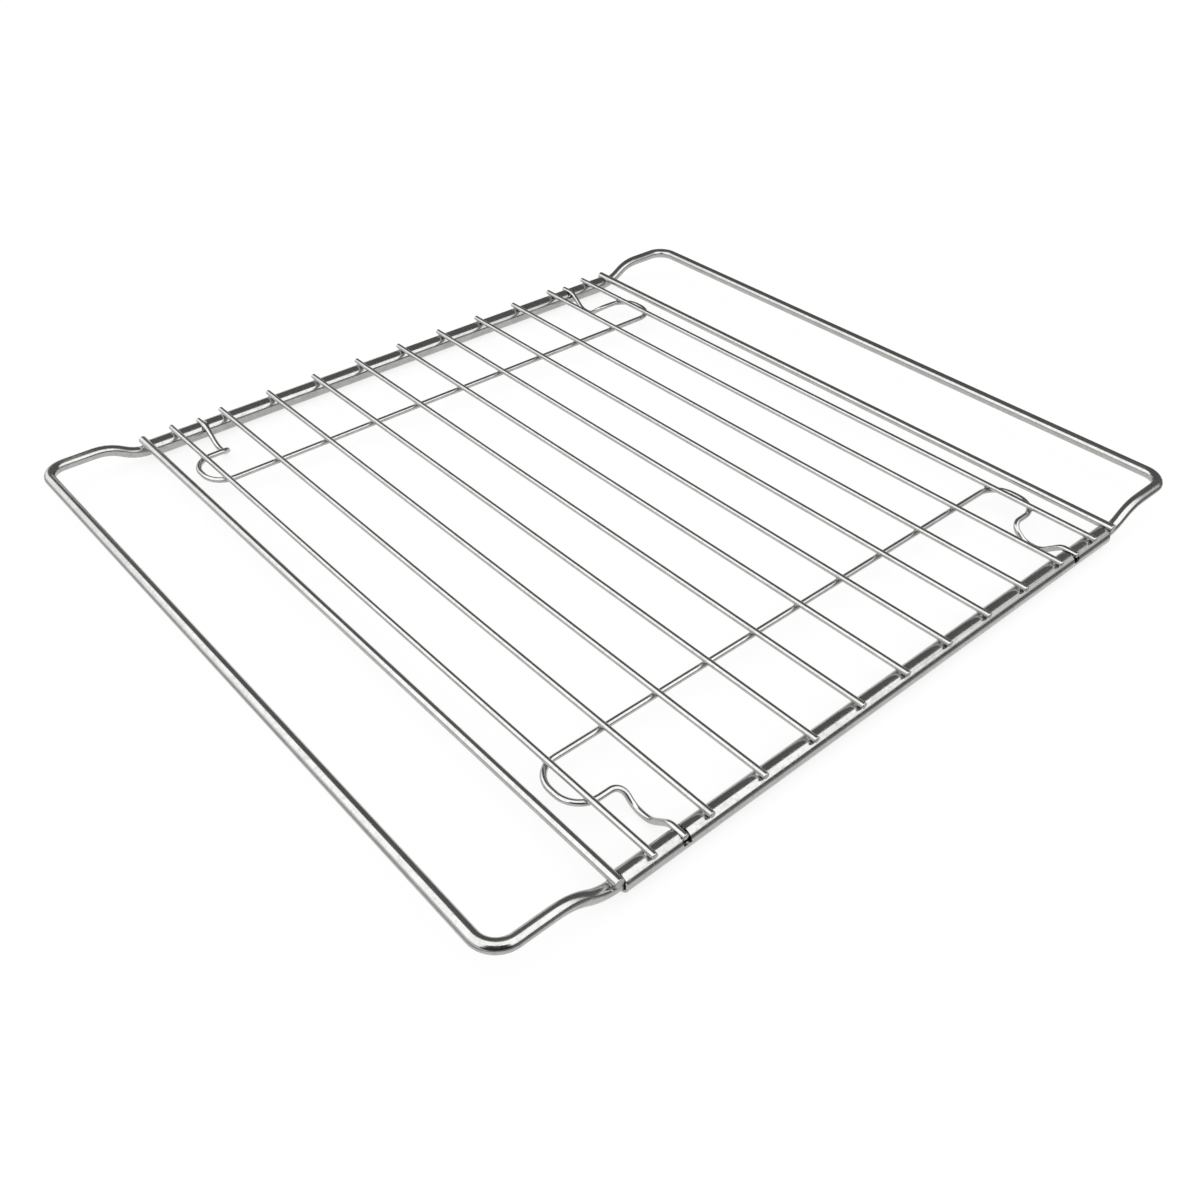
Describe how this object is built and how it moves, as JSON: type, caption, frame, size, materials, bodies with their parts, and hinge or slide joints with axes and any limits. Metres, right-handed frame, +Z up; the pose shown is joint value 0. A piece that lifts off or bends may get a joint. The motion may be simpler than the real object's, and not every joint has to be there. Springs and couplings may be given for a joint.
{
  "type": "extending oven shelf rack",
  "caption": "Extending wire oven shelf: cross wires on two slotted guide tubes, with sliding side loops whose raised runners sit on the oven's rails, braked by bent spring wires.",
  "frame": {"origin": "middle of the shelf in plan, on the surface that the four spring-wire feet rest on", "axes": "+X to the right along the guide tubes, which is also the way the right arm slides out; +Y from the front tube to the back tube; +Z up"},
  "size_m": [0.375, 0.3284, 0.0141],
  "materials": {
    "plated_wire": "bright plated drawn steel wire",
    "plated_tube": "bright plated steel tube",
    "plated_rod": "bright plated steel rod"
  },
  "bodies": {
    "grid": {"cross_wire_01": "plated_wire", "cross_wire_02": "plated_wire", "cross_wire_03": "plated_wire", "cross_wire_04": "plated_wire", "cross_wire_05": "plated_wire", "cross_wire_06": "plated_wire", "cross_wire_07": "plated_wire", "cross_wire_08": "plated_wire", "cross_wire_09": "plated_wire", "cross_wire_10": "plated_wire", "cross_wire_11": "plated_wire", "front_tube": "plated_tube", "back_tube": "plated_tube", "front_spring_wire": "plated_wire", "back_spring_wire": "plated_wire"},
    "left_arm": {"left_loop": "plated_rod", "left_bar": "plated_wire"},
    "right_arm": {"right_loop": "plated_rod", "right_bar": "plated_wire"}
  },
  "joints": [
    {"name": "left_slide", "type": "slide", "parent": "grid", "child": "left_arm", "axis": [-1, 0, 0], "range_m": [0, 0.1]},
    {"name": "right_slide", "type": "slide", "parent": "grid", "child": "right_arm", "axis": [1, 0, 0], "range_m": [0, 0.1]}
  ]
}
